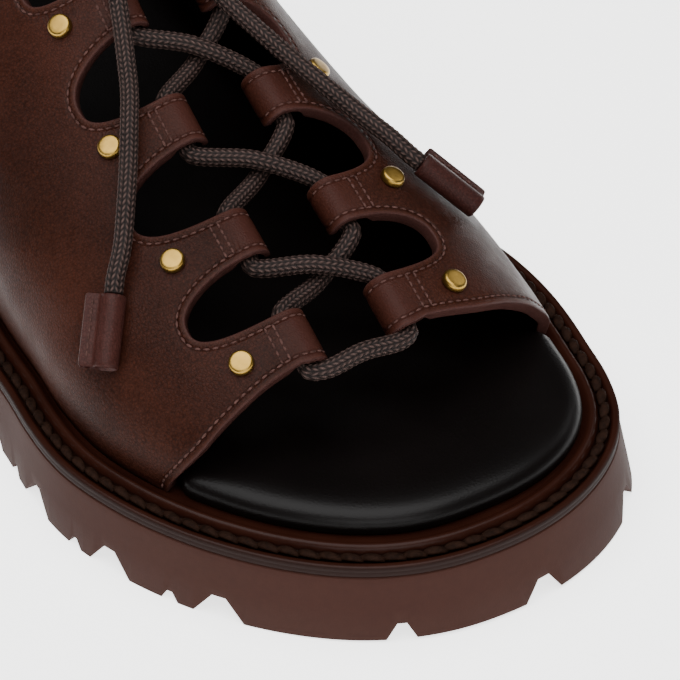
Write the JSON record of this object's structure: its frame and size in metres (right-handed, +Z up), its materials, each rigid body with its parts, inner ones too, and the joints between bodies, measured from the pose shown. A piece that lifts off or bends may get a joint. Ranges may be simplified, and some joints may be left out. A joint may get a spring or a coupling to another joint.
{
  "type": "sandal",
  "caption": "Chunky open-toe leather sandal, right foot: lugged rubber sole, storm welt, padded footbed, and a hollow upper laced through rolled leather loops.",
  "frame": {"origin": "centre of the bounding box in plan, on the ground under the lugs", "axes": "+Z up, toe towards -Y, heel towards +Y, medial side towards +X"},
  "size_m": [0.1128, 0.2744, 0.098],
  "materials": {
    "rubber": "matte moulded rubber, fine grain",
    "welt_leather": "glossy burnished welt",
    "lining_leather": "smooth black lining leather",
    "upper_leather": "smooth oiled dark brown leather, soft sheen",
    "tip_leather": "folded and stitched dark brown leather",
    "stud_metal": "polished, gold coloured",
    "lace": "round braided cord, matt"
  },
  "bodies": {
    "root": {"outsole": "rubber", "welt": "welt_leather", "footbed": "lining_leather", "upper": "upper_leather", "stud_lateral_1": "stud_metal", "stud_lateral_2": "stud_metal", "stud_lateral_3": "stud_metal", "stud_lateral_4": "stud_metal", "stud_lateral_5": "stud_metal", "stud_medial_1": "stud_metal", "stud_medial_2": "stud_metal", "stud_medial_3": "stud_metal", "stud_medial_4": "stud_metal", "stud_medial_5": "stud_metal", "lace_crossings": "lace", "lace_end_lateral": "lace", "lace_end_medial": "lace", "lace_tip_lateral": "tip_leather", "lace_tip_medial": "tip_leather"}
  },
  "joints": []
}
